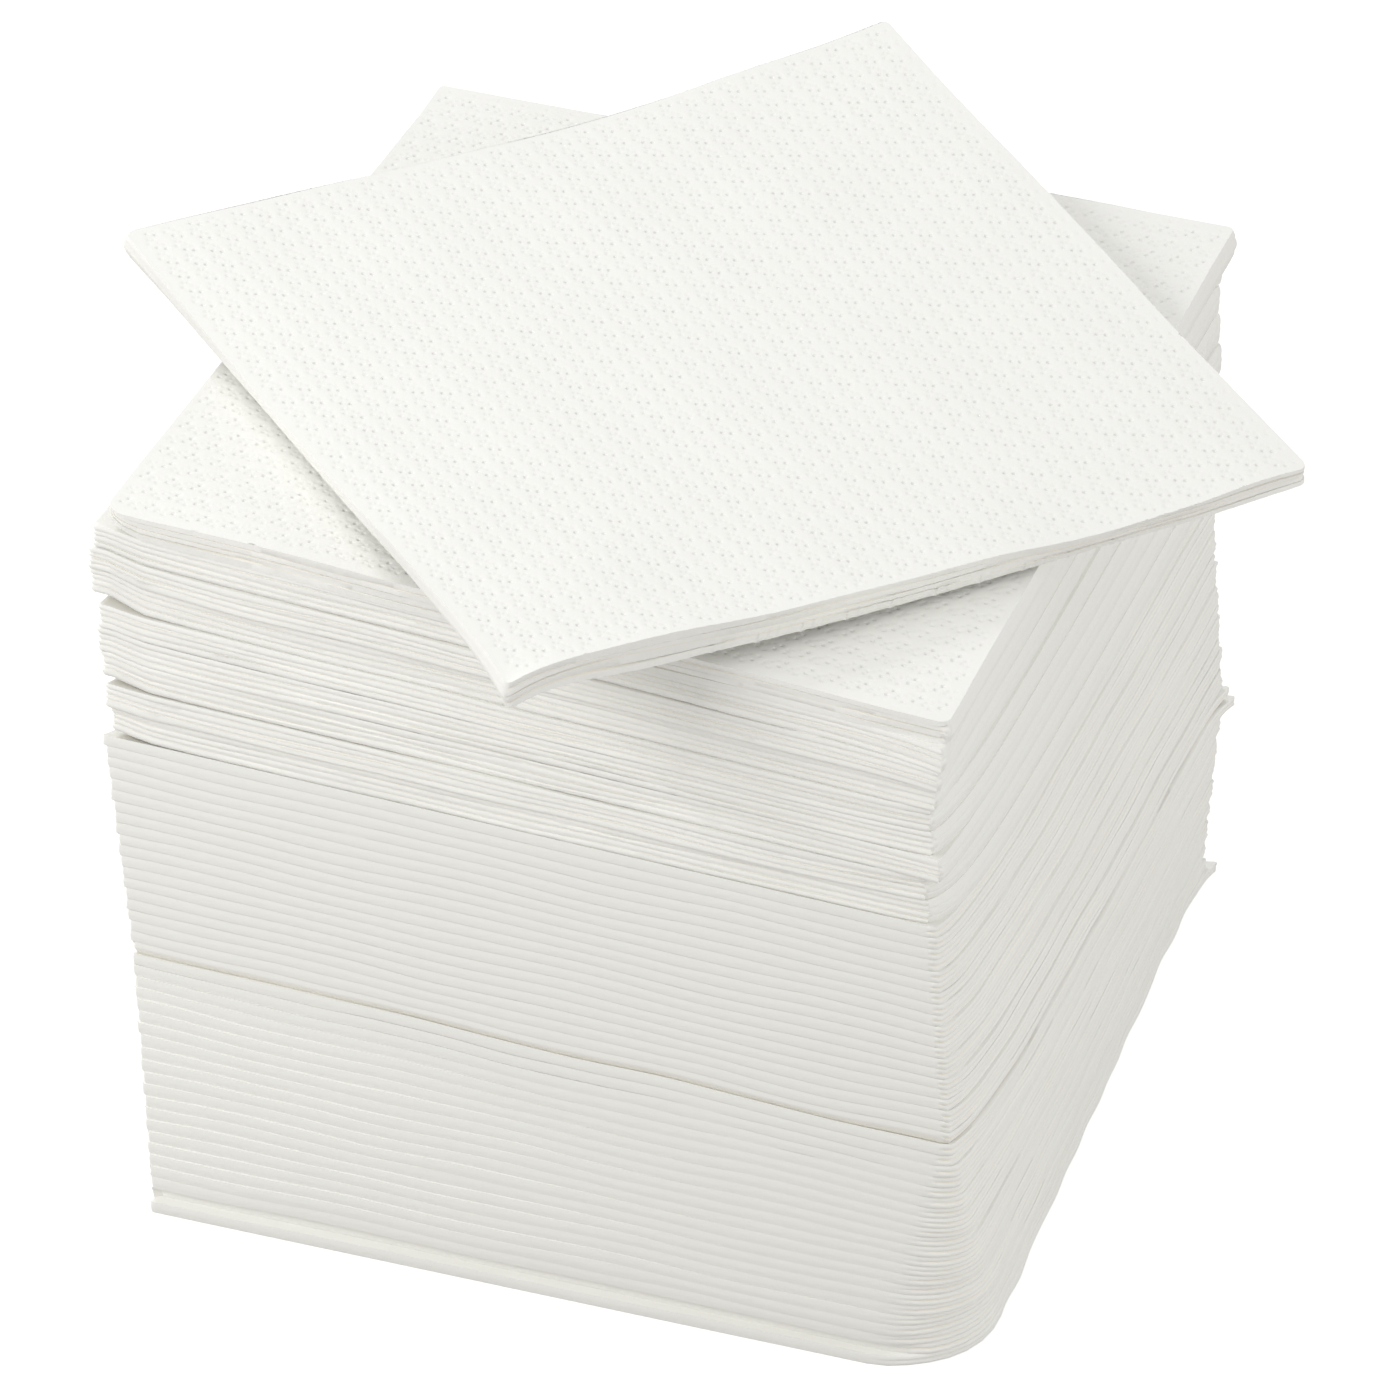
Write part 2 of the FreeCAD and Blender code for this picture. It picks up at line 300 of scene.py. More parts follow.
def ripple(around, seed, turns):
    """A smooth wander round a closed line, about -1 to 1, with about so many waves in it."""
    random = np.random.default_rng(seed)
    total = np.zeros_like(around)
    for wave in random.integers(max(1, turns // 3), turns * 2, RIPPLE_WAVES):
        total += np.sin(2 * math.pi * (wave * around + random.random()))
    return total / RIPPLE_WAVES ** 0.5


RIPPLE_WAVES = 6


def stray(index, phase):
    """A small steady wander from one napkin to the next."""
    return STRAY * math.sin(STRAY_STEP * index + phase)


def pressed_height(count, y, half):
    """Height of the pressed stack after so many napkins, at a distance from its middle."""
    low = min(count, BOTTOM_COUNT)
    swell = fading(np.maximum(y, -half) + half, FOLD_REACH)
    return low * (PRESSED_THICK + FOLD_EXTRA * swell) + (count - low) * MIDDLE_THICK


def waves(x, y, seed, length):
    """A smooth unevenness over a face, about -1 to 1, with waves of about a given length."""
    random = np.random.default_rng(seed)
    total = 0.0
    for _ in range(RIPPLE_WAVES):
        way, phase = random.random(2) * 2 * math.pi
        turn = 2 * math.pi / length / random.uniform(0.7, 1.5)
        total = total + np.sin(turn * (x * math.cos(way) + y * math.sin(way)) + phase)
    return total / RIPPLE_WAVES ** 0.5


def bundle_wave(count, x, y):
    """How far the level above so many pressed napkins waves up and down."""
    total = BOTTOM_COUNT + MIDDLE_COUNT
    ease = smooth_step(count / WAVE_EASE) * smooth_step((total - count) / WAVE_EASE)
    phase = WAVE_DRIFT * count
    first = np.sin(2 * math.pi * (x + y) / WAVE_LENGTH + phase)
    second = np.sin(2 * math.pi * (x * 0.7 - y * 1.2) / (WAVE_LENGTH * 0.47) - 1.6 * phase)
    own = waves(x, y, 40 + count, WAVE_LENGTH / 3)
    return ease * (WAVE_RISE * (first + 0.5 * second) + WAVE_OWN * own)


def bundle_gap(count, index, x, y, half):
    """How far the middle bundle stands off the bottom one, at its front and its right side."""
    if index < BOTTOM_COUNT or count > BOTTOM_COUNT + GAP_SPREAD:
        return 0.0
    uneven = 1 + 0.5 * waves(x, y, 9, 40 * MM)
    front = GAP_FRONT * uneven + GAP_CORNER * smooth_step((x - GAP_CORNER_START) / GAP_CORNER_EASE)
    gap = front * closing(y + half, GAP_REACH)
    gap = np.maximum(gap, GAP_RIGHT * uneven * closing(half - x, GAP_REACH))
    return gap * (1 - (count - BOTTOM_COUNT) / GAP_SPREAD)


WAVE_EASE = 3
WAVE_DRIFT = 0.30
WAVE_LENGTH = 47 * MM
WAVE_RISE = 0.17 * MM
WAVE_OWN = 0.06 * MM
GAP_SPREAD = 7          # napkins over which the middle bundle takes up the gap below it
GAP_FRONT = 0.14 * MM
GAP_CORNER = 0.40 * MM
GAP_CORNER_START = 42 * MM
GAP_CORNER_EASE = 14 * MM
GAP_RIGHT = 0.40 * MM
GAP_REACH = 0.75 * MM


def stack_top(x, y, half):
    """The warped top of the whole stack."""
    level = BOTTOM_COUNT * (PRESSED_THICK + FOLD_EXTRA) + MIDDLE_COUNT * MIDDLE_THICK
    level += sum(LOOSE_GROUPS) * LOOSE_THICK
    return level + TOP_TILT * y / half + TOP_WARP * (x / half) * (y / half)


def group_level(group, x, y, half):
    """Height between two groups of loose napkins, before any gap opens."""
    share = sum(LOOSE_GROUPS[:group]) / sum(LOOSE_GROUPS)
    foot = pressed_height(BOTTOM_COUNT + MIDDLE_COUNT, y, half)
    return foot + share * (stack_top(x, y, half) - foot)


def tip_bend(group, x, half):
    """How far a group's left tips bend up: a curve, and a sharp kink near the end."""
    inward = np.maximum(x, -half) + half
    kink = np.maximum(0.0, 1 - inward / TIP_KINK)
    return TIP_RISE[group] * ((1 - TIP_SHARP) * fading(inward, TIP_REACH) + TIP_SHARP * kink)


def gap_under(group, x, y, half):
    """The air under a group: its left tips bend up, and the second group also bows up."""
    gap = tip_bend(group, x, half)
    if group == 1:
        bow = np.maximum(0.0, 1 - ((x - BOW_MIDDLE) / BOW_HALF) ** 2)
        gap = gap + BOW_GAP * bow * np.maximum(0.0, 1 - (y + half) / BOW_DEPTH)
    return gap


def loose_height(group, order, x, y, half):
    """Height of a napkin's underside in its group, and of the group's top after the last."""
    low = group_level(group, x, y, half) + gap_under(group, x, y, half)
    high = group_level(group + 1, x, y, half)
    if group + 1 < len(LOOSE_GROUPS):
        high = high + TIP_SHUT * tip_bend(group + 1, x, half)
    return low + (high - low) * order / LOOSE_GROUPS[group]


def corner_lift(across, along):
    """Lift of the turned napkin at shares of its half side, from -1 to 1."""
    signs = ((1, -1), (1, 1), (-1, 1), (-1, -1))
    lift = 0.0
    for (sign_x, sign_y), rise in zip(signs, CORNER_LIFTS):
        near = np.maximum(0.0, (1 + sign_x * across) * (1 + sign_y * along) / 4)
        lift = lift + rise * near ** LIFT_POWER
    return lift


def turned_place(x, y):
    """Where a point of the turned napkin lies on the stack."""
    return (TURNED_CENTRE[0] + x * math.cos(TURNED_ANGLE) - y * math.sin(TURNED_ANGLE),
            TURNED_CENTRE[1] + x * math.sin(TURNED_ANGLE) + y * math.cos(TURNED_ANGLE))


def along_edge(place, knots):
    """A height that runs smoothly through its knots, each a place along an edge and a height."""
    places, heights = zip(*knots)
    spread = np.linspace(-EDGE_SMOOTHING, EDGE_SMOOTHING, 9)
    return sum(np.interp(place + step, places, heights) for step in spread) / len(spread)


def edge_rise(x, y, half, which):
    """How far the turned napkin's face leaves its plain form towards its edges."""
    rise = 0.0
    for line, across, along in ((CUT_EDGE, y, -x), (FOLD_EDGE, x, y), (FAR_EDGE, -y, -x)):
        near = fading(np.maximum(half - across, 0), EDGE_REACH)
        rise = rise + near * along_edge(along, [(place, (low, high)[which]) for place, low, high in line])
    return rise


def turned_level(half, sizes):
    """Function for the height inside the turned napkin at a place and a share of its thickness."""
    def level(x, y, share, around):
        place_x, place_y = turned_place(x, y)
        rest = stack_top(np.clip(place_x, -half, half), np.clip(place_y, -half, half), half)
        droop = TIP_DROOP * fading(np.hypot(x - half, y - half), DROOP_REACH)
        plain = rest + sizes.air + corner_lift(x / half, y / half) - droop
        low = plain + edge_rise(x, y, half, 0)
        high = plain + TURNED_THICK + edge_rise(x, y, half, 1) + FACE_WAVE * waves(x, y, 22, 30 * MM)
        return low + (high - low) * share

    return level


def outline(x0, x1, y0, y1, radii, steps):
    """Points round a napkin from its front left corner on, and each point's share of the sides."""
    corners = np.array([(x0, y0), (x1, y0), (x1, y1), (x0, y1)])
    ways = np.array([(1, 0), (0, 1), (-1, 0), (0, -1)])
    points, shares = [], []
    for side in range(4):
        after = (side + 1) % 4
        start = corners[side] + ways[side] * radii[side]
        end = corners[after] - ways[side] * radii[after]
        for step in range(steps[side]):
            points.append(start + (end - start) * step / steps[side])
            shares.append(np.eye(4)[side])
        middle = end + ways[after] * radii[after]
        for step in range(ARC_STEPS):
            angle = math.pi / 2 * step / ARC_STEPS
            points.append(middle - ways[after] * radii[after] * math.cos(angle)
                          + ways[side] * radii[after] * math.sin(angle))
            blend = smooth_step(ARC_BLEND * step / ARC_STEPS)
            shares.append(np.eye(4)[side] * (1 - blend) + np.eye(4)[after] * blend)
    return np.array(points), np.array(shares)


def fold_profiles(sizes, count, bulge):
    """How far out and how high the points up a nested fold and up two first-fold edges are."""
    even = np.arange(count) / (count - 1)
    nested = -bulge * np.abs(2 * even - 1) ** FOLD_POWER
    if bulge > sizes.ridge:
        nested[[count // 3, 2 * count // 3]] -= NOSE_CREASE
    halves = np.where(even <= 0.5, 2 * even, 2 * even - 1)
    lobes = -sizes.lobe * (2 * halves - 1) ** 2
    lobes[count // 2] = -LOBE_SLIT
    return {"nested": nested, "lobes": lobes}, even


LIP_EASE = 0.08 * MM


def wall(sizes, sides, points, shares, seed, lips, bulge, thick, gape=1.0):
    """Distance out, share of the height and other facts of each wall point round a napkin.

    The wall has the same number of points everywhere: some lips for each layer, and one between
    two layers that is the floor of a slit at a cut edge."""
    around = np.linspace(0, 1, len(points), endpoint=False)
    cut = sum(shares[:, number] for number, kind in enumerate(sides) if kind == "cut")
    lobed = sum(shares[:, number] for number, kind in enumerate(sides) if kind == "lobes")
    nested = 1 - cut - lobed
    bounds = [np.zeros(len(points))]
    for number in range(1, LAYERS):
        wobble = LAYER_WOBBLE * ripple(around, seed * LAYERS + number + 300, LAYER_WAVES)
        bounds.append((number + wobble) / LAYERS)
    bounds.append(np.ones(len(points)))
    gaps = [np.zeros(len(points))]
    for number in range(1, LAYERS):
        uneven = ripple(around, seed * LAYERS + number + 700, SLIT_WAVES)
        gaps.append(gape * sizes.slit / thick / 2 * np.maximum(SLIT_LEAST, 1 + SLIT_CHANGE * uneven))
    gaps.append(np.zeros(len(points)))
    drift = sizes.wander * (cut + LOBE_WANDER * lobed + FOLD_WANDER * nested) * ripple(around, seed, EDGE_WAVES)
    rows = []
    for number in range(LAYERS):
        own = seed * LAYERS + number
        layer_drift = LAYER_STRAY * (ripple(around, own + 501, EDGE_WAVES) + math.sin(11.0 * own))
        low, high = bounds[number] + gaps[number], bounds[number + 1] - gaps[number + 1]
        for lip in range(lips):
            rise = lip / (lips - 1)
            eased = layer_drift - LIP_EASE * (lips - 1) * (2 * rise - 1) ** 2
            rows.append((eased, low + (high - low) * rise, ripple(around, own + 901, TONE_WAVES), 0.0))
        if number < LAYERS - 1:
            reach = np.maximum(SLIT_LEAST, 1 + SLIT_CHANGE * ripple(around, own + 1301, SLIT_WAVES))
            rows.append((-gape * sizes.slit_depth * reach, bounds[number + 1], np.zeros(len(points)), 1.0))
    count = len(rows)
    folds, even = fold_profiles(sizes, count, bulge)
    result = {name: np.zeros((count, len(points))) for name in ("out", "height", "tone", "crease", "frayed")}
    for row, (cut_out, cut_height, cut_tone, deep) in enumerate(rows):
        lobe = seed * 2 + (row > count // 2)
        lobe_drift = LOBE_STRAY * (ripple(around, lobe + 31, EDGE_WAVES) + math.sin(7.0 * lobe))
        result["out"][row] = (drift + cut * cut_out + nested * folds["nested"][row]
                              + lobed * (folds["lobes"][row] + lobe_drift))
        result["height"][row] = cut * cut_height + (1 - cut) * even[row]
        result["tone"][row] = cut * cut_tone + lobed * ripple(around, lobe + 91, TONE_WAVES)
        # The floors of the slits between cut layers, and the middle slit of a lobed side, get painted crease
        # shade.
        result["crease"][row] = cut * deep + (lobed if row == count // 2 else 0)
        result["frayed"][row] = cut * (1 - deep)
    result["around"] = around
    return result


EDGE_WAVES = 9
TONE_WAVES = 5
LAYER_WAVES = 7
LAYER_WOBBLE = 0.13     # how far the line between two layers strays, as a share of a layer
SLIT_WAVES = 8
SLIT_LEAST = 0.3
SLIT_CHANGE = 0.7
LOBE_SLIT = 0.24 * MM
FOLD_POWER = 1.6
FOLD_WANDER = 0.2       # share of an edge's wander that a nested fold shows
LOBE_WANDER = 0.5
NOSE_CREASE = 0.13 * MM     # depth of the creases along the loose napkins' nested folds
LOBE_STRAY = 0.05 * MM
LAYER_STRAY = 0.06 * MM
RIM = 0.6 * MM          # distance of the first ring inside an edge
INNER_RIM = 9 * MM


def towards_middle(points, middle, out, half):
    """Points moved out from a napkin's middle, or in where the distance is negative."""
    return middle + (points - middle) * (1 + out / half)[..., None]


def ring_faces(rings, around, first=0):
    """Four-sided faces between rings of points, each as many points as the others."""
    ring, place = np.meshgrid(np.arange(rings - 1), np.arange(around), indexing="ij")
    after = (place + 1) % around
    low, high = first + ring * around, first + (ring + 1) * around
    return np.stack([low + place, low + after, high + after, high + place], -1).reshape(-1, 4)


def fan_faces(ring, middle, upwards):
    """Three-sided faces from a ring of points to the point in its middle."""
    after = np.roll(ring, -1)
    ends = (ring, after) if upwards else (after, ring)
    return np.stack([*ends, np.full(len(ring), middle)], -1)


def make_mesh(name, points, faces, facts):
    """A mesh object with smooth faces and its facts as attributes of its points."""
    mesh = bpy.data.meshes.new(name)
    mesh.from_pydata(points.tolist(), [], [face for block in faces for face in block.tolist()])
    mesh.polygons.foreach_set("use_smooth", np.ones(len(mesh.polygons), bool))
    mesh.update()
    mesh.set_sharp_from_angle(angle=math.radians(SHARP_ANGLE))
    for fact, values in facts.items():
        if values.ndim == 2:
            mesh.attributes.new(fact, "FLOAT_VECTOR", "POINT").data.foreach_set("vector", values.ravel())
        else:
            mesh.attributes.new(fact, "FLOAT", "POINT").data.foreach_set("value", values)
    piece = bpy.data.objects.new(name, mesh)
    bpy.context.scene.collection.objects.link(piece)
    return piece


SHARP_ANGLE = 55


def banded_napkin(name, points, shares, walls, level, half):
    """A napkin made of rings of points, closed by a fan in the middle of each face."""
    out, height, around = walls["out"], walls["height"], walls["around"]
    middle = points.mean(axis=0)
    count = len(points)
    none, all_up = np.zeros(count), np.ones(count)
    rows = [(none - INNER_RIM, none), (out[0] - RIM, none), *zip(out, height),
            (out[-1] - RIM, all_up), (none - INNER_RIM, all_up)]
    rings = []
    for distance, share in rows:
        place = towards_middle(points, middle, distance, half)
        rings.append(np.column_stack([place, level(place[:, 0], place[:, 1], share, around)]))
    solid = np.concatenate(rings)
    ends = []
    for share in (0.0, 1.0):
        z = level(middle[:1], middle[1:], np.array([share]), np.zeros(1))
        ends.append([middle[0], middle[1], float(z[0])])
    solid = np.concatenate([solid, ends])
    ring_count = len(rings)
    faces = [ring_faces(ring_count, count)]
    faces.append(fan_faces(np.arange(count), ring_count * count, False))
    faces.append(fan_faces(np.arange(count) + (ring_count - 1) * count, ring_count * count + 1, True))
    facts = {}
    # The underside ring near the edge gets the painted crease shade in full, fading to none towards the middle;
    # the top face gets none.
    for fact, below in (("tone", 0), ("crease", 1), ("frayed", 0)):
        under, over = np.zeros((2, count)), np.zeros((2, count))
        under[1] = below
        facts[fact] = np.append(np.concatenate([under, walls[fact], over]).ravel(), (0, 0))
    flat = solid[:, :2] - middle
    reach = np.maximum(np.linalg.norm(flat, axis=1), TINY)
    facts["outward"] = np.column_stack([flat / reach[:, None], np.zeros(len(flat))])
    return solid, faces, facts


TINY = 1e-9


def turned_round(points, angle, centre):
    """Points turned about an upright line."""
    turn = np.array([[math.cos(angle), math.sin(angle)], [-math.sin(angle), math.cos(angle)]])
    flat = (points[:, :2] - centre) @ turn + centre
    return np.column_stack([flat, points[:, 2:]])


def socket_of(tree, name):
    """Identifier of a named input of a node tree."""
    for item in tree.interface.items_tree:
        if item.name == name and item.in_out == "INPUT":
            return item.identifier
    raise RuntimeError("the tree has no input named " + name)


def run_tree(piece, tree, inputs):
    """Runs a geometry tree on a piece and keeps its result as the piece's plain mesh."""
    modifier = piece.modifiers.new(tree.name, "NODES")
    modifier.node_group = tree
    for name, value in inputs.items():
        modifier[socket_of(tree, name)] = value
    evaluated = piece.evaluated_get(bpy.context.evaluated_depsgraph_get())
    plain = bpy.data.meshes.new_from_object(evaluated)
    piece.modifiers.remove(modifier)
    old = piece.data
    piece.data = plain
    bpy.data.meshes.remove(old)
    plain.name = piece.name


class TreeMaker:
    """Short ways to add and join the nodes of one tree."""

    def __init__(self, tree):
        self.tree = tree

    def add(self, kind, settings=None, **inputs):
        node = self.tree.nodes.new(kind)
        for name, value in (settings or {}).items():
            setattr(node, name, value)
        for name, value in inputs.items():
            self.feed(node.inputs[name.replace("_", " ")], value)
        return node

    def feed(self, socket, value):
        if hasattr(value, "is_output"):
            self.tree.links.new(value, socket)
        else:
            socket.default_value = value

    def math(self, operation, first, second=None, third=None):
        node = self.tree.nodes.new("ShaderNodeMath")
        node.operation = operation
        for socket, value in zip(node.inputs, (first, second, third)):
            if value is not None:
                self.feed(socket, value)
        return node.outputs[0]

    def vector(self, operation, first, second=None, scale=None):
        node = self.tree.nodes.new("ShaderNodeVectorMath")
        node.operation = operation
        self.feed(node.inputs[0], first)
        if second is not None:
            self.feed(node.inputs[1], second)
        if scale is not None:
            self.feed(node.inputs["Scale"], scale)
        return node.outputs["Value" if operation in ("LENGTH", "DISTANCE", "DOT_PRODUCT") else "Vector"]

    def attribute(self, name, kind="FLOAT"):
        return self.add("GeometryNodeInputNamedAttribute", {"data_type": kind}, Name=name).outputs[0]


def new_geometry_tree(name, inputs):
    """A geometry tree with a mesh in and out and named inputs, as (kind, default) by name."""
    tree = bpy.data.node_groups.new(name, "GeometryNodeTree")
    tree.is_modifier = True
    tree.interface.new_socket("Geometry", in_out="INPUT", socket_type="NodeSocketGeometry")
    for title, (kind, default) in inputs.items():
        socket = tree.interface.new_socket(title, in_out="INPUT", socket_type="NodeSocket" + kind)
        if default is not None:
            socket.default_value = default
    tree.interface.new_socket("Geometry", in_out="OUTPUT", socket_type="NodeSocketGeometry")
    return tree, TreeMaker(tree)


def close_tree(maker, geometry, material):
    """Ends a geometry tree with its instances made real and its material set."""
    real = maker.add("GeometryNodeRealizeInstances", Geometry=geometry)
    painted = maker.add("GeometryNodeSetMaterial", Geometry=real.outputs[0], Material=material)
    maker.feed(maker.add("NodeGroupOutput").inputs[0], painted.outputs[0])


def fray_tree():
    """Geometry tree that roughens the cut edges along their outward way."""
    name = "Frayed cut edges"
    if name in bpy.data.node_groups:
        return bpy.data.node_groups[name]
    tree, maker = new_geometry_tree(name, {
        "Fray": ("Float", 0.1 * MM),
        "Grain": ("Float", 0.9 * MM),
        "Seed": ("Float", 0.0),
        "Material": ("Material", None),
    })
    given = maker.add("NodeGroupInput")
    place = maker.add("GeometryNodeInputPosition").outputs[0]
    scale = maker.math("DIVIDE", 1.0, given.outputs["Grain"])
    noise = maker.add("ShaderNodeTexNoise", {"noise_dimensions": "4D"}, Vector=place, Scale=scale,
                      W=given.outputs["Seed"], Detail=1.0)
    signed = maker.math("SUBTRACT", noise.outputs[0], 0.5)
    amount = maker.math("MULTIPLY", maker.math("MULTIPLY", signed, 4.0), given.outputs["Fray"])
    amount = maker.math("MULTIPLY", amount, maker.attribute("frayed"))
    offset = maker.vector("SCALE", maker.attribute("outward", "FLOAT_VECTOR"), scale=amount)
    moved = maker.add("GeometryNodeSetPosition", Geometry=given.outputs["Geometry"], Offset=offset)
    close_tree(maker, moved.outputs[0], given.outputs["Material"])
    return tree


def emboss_tree():
    """Geometry tree that presses the pins' pits into a napkin's face.

    It reads each point's place on the flat napkin, and how fully that place is embossed."""
    name = "Pin emboss"
    if name in bpy.data.node_groups:
        return bpy.data.node_groups[name]
    tree, maker = new_geometry_tree(name, {
        "Row Spacing": ("Float", 3.3 * MM),
        "Cell Length": ("Float", 3.8 * MM),
        "Pin Radius": ("Float", 0.5 * MM),
        "Pin Depth": ("Float", 0.2 * MM),
        "Seed": ("Int", 0),
        "Material": ("Material", None),
    })
    given = maker.add("NodeGroupInput").outputs
    depth = pin_depth(maker, maker.attribute("flat_place", "FLOAT_VECTOR"), given)
    depth = maker.math("MULTIPLY", depth, maker.attribute("embossed"))
    offset = maker.add("ShaderNodeCombineXYZ", Z=maker.math("MULTIPLY", depth, -1.0)).outputs[0]
    moved = maker.add("GeometryNodeSetPosition", Geometry=given["Geometry"], Offset=offset)
    close_tree(maker, moved.outputs[0], given["Material"])
    return tree


def pin_depth(maker, flat_place, given):
    """Depth of the pins' pits at a place, from a tree's or a group's named inputs."""
    place = maker.add("ShaderNodeSeparateXYZ", Vector=flat_place)
    rows = maker.math("DIVIDE", place.outputs[0], given["Row Spacing"])
    row = maker.math("ROUND", rows)
    stagger = maker.math("MULTIPLY", maker.math("FLOORED_MODULO", row, 2.0), 0.5)
    cells = maker.math("SUBTRACT", maker.math("DIVIDE", place.outputs[1], given["Cell Length"]), stagger)
    cell = maker.math("ROUND", cells)
    across = maker.math("MULTIPLY", maker.math("SUBTRACT", rows, row), given["Row Spacing"])
    along = maker.math("MULTIPLY", maker.math("SUBTRACT", cells, cell), given["Cell Length"])
    number = maker.add("ShaderNodeCombineXYZ", X=row, Y=cell, Z=given["Seed"]).outputs[0]
    random = maker.add("ShaderNodeTexWhiteNoise", {"noise_dimensions": "3D"}, Vector=number).outputs
    uneven = maker.math("MULTIPLY_ADD", random["Value"], 0.3, 0.85)
    shift = maker.vector("SCALE", maker.vector("SUBTRACT", random["Color"], (0.5, 0.5, 0.5)),
                         scale=PIT_STRAY)
    shift = maker.add("ShaderNodeSeparateXYZ", Vector=shift)
    across = maker.math("ADD", across, shift.outputs[0])
    along = maker.math("ADD", along, shift.outputs[1])
    deepest = None
    for pit_across, pit_along, share in PITS:
        dx = maker.math("SUBTRACT", across, pit_across)
        dy = maker.math("SUBTRACT", along, pit_along)
        gone = maker.math("SQRT", maker.math("MULTIPLY_ADD", dx, dx, maker.math("MULTIPLY", dy, dy)))
        width = maker.math("MULTIPLY", given["Pin Radius"], 1.0 if share == 1 else WEAK_WIDTH)
        near = maker.math("SUBTRACT", 1.0, maker.math("DIVIDE", gone, width))
        pit = maker.math("MULTIPLY", maker.math("SMOOTH_MAX", near, 0.0, 0.15), share)
        deepest = pit if deepest is None else maker.math("MAXIMUM", deepest, pit)
    return maker.math("MULTIPLY", maker.math("MULTIPLY", deepest, uneven), given["Pin Depth"])


PIT_STRAY = 0.08 * MM


def grain_group():
    """Shader group with the height of the tissue's fibres and of its faint crushed waves."""
    name = "Tissue grain"
    if name in bpy.data.node_groups:
        return bpy.data.node_groups[name]
    tree = bpy.data.node_groups.new(name, "ShaderNodeTree")
    for title, default in (("Fibre Size", 0.45 * MM), ("Crush Size", 3.0 * MM), ("Crush", 0.5)):
        tree.interface.new_socket(title, in_out="INPUT", socket_type="NodeSocketFloat").default_value = default
    tree.interface.new_socket("Height", in_out="OUTPUT", socket_type="NodeSocketFloat")
    tree.interface.new_socket("Roughness", in_out="OUTPUT", socket_type="NodeSocketFloat")
    maker = TreeMaker(tree)
    given = maker.add("NodeGroupInput").outputs
    place = maker.add("ShaderNodeTexCoord").outputs["Object"]
    fibres = maker.add("ShaderNodeTexNoise", Vector=place, Detail=4.0, Roughness=0.7,
                       Scale=maker.math("DIVIDE", 1.0, given["Fibre Size"])).outputs[0]
    crushed = maker.add("ShaderNodeTexNoise", Vector=place, Detail=2.0, Distortion=0.6,
                        Scale=maker.math("DIVIDE", 1.0, given["Crush Size"])).outputs[0]
    height = maker.math("MULTIPLY_ADD", crushed, given["Crush"], fibres)
    result = maker.add("NodeGroupOutput")
    maker.feed(result.inputs["Height"], height)
    maker.feed(result.inputs["Roughness"], maker.math("MULTIPLY_ADD", fibres, 0.12, 0.84))
    return tree


def tint_group():
    """Shader group with the paper's colour, a little uneven, and with painted warm shade deep in a slit and on
    the undersides.
    """
    name = "Tissue tint"
    if name in bpy.data.node_groups:
        return bpy.data.node_groups[name]
    tree = bpy.data.node_groups.new(name, "ShaderNodeTree")
    for title in ("Paper", "Crease"):
        tree.interface.new_socket(title, in_out="INPUT", socket_type="NodeSocketColor")
    tree.interface.new_socket("Unevenness", in_out="INPUT", socket_type="NodeSocketFloat")
    tree.interface.new_socket("Colour", in_out="OUTPUT", socket_type="NodeSocketColor")
    maker = TreeMaker(tree)
    given = maker.add("NodeGroupInput").outputs
    deep = maker.add("ShaderNodeAttribute", {"attribute_name": "crease"}).outputs["Fac"]
    tone = maker.add("ShaderNodeAttribute", {"attribute_name": "tone"}).outputs["Fac"]
    # Mixes in the painted warm shade of the slits and undersides.
    mixed = maker.add("ShaderNodeMix", {"data_type": "RGBA"})
    maker.feed(mixed.inputs["Factor"], deep)
    maker.feed(mixed.inputs[6], given["Paper"])
    maker.feed(mixed.inputs[7], given["Crease"])
    level = maker.math("MULTIPLY_ADD", tone, given["Unevenness"], 1.0)
    result = maker.vector("SCALE", mixed.outputs[2], scale=level)
    maker.feed(maker.add("NodeGroupOutput").inputs[0], result)
    return tree


def pin_group():
    """Shader group with the depth of the pin pits, and a mask for the shade painted inside them."""
    name = "Pin marks"
    if name in bpy.data.node_groups:
        return bpy.data.node_groups[name]
    tree = bpy.data.node_groups.new(name, "ShaderNodeTree")
    for title in ("Row Spacing", "Cell Length", "Pin Radius", "Pin Depth", "Seed"):
        tree.interface.new_socket(title, in_out="INPUT", socket_type="NodeSocketFloat")
    for title in ("Depth", "Mask"):
        tree.interface.new_socket(title, in_out="OUTPUT", socket_type="NodeSocketFloat")
    maker = TreeMaker(tree)
    given = maker.add("NodeGroupInput").outputs
    place = maker.add("ShaderNodeAttribute", {"attribute_name": "flat_place"}).outputs["Vector"]
    embossed = maker.add("ShaderNodeAttribute", {"attribute_name": "embossed"}).outputs["Fac"]
    depth = maker.math("MULTIPLY", pin_depth(maker, place, given), embossed)
    mask = maker.math("MINIMUM", maker.math("DIVIDE", depth, given["Pin Depth"]), 1.0)
    result = maker.add("NodeGroupOutput")
    maker.feed(result.inputs["Depth"], depth)
    maker.feed(result.inputs["Mask"], mask)
    return tree


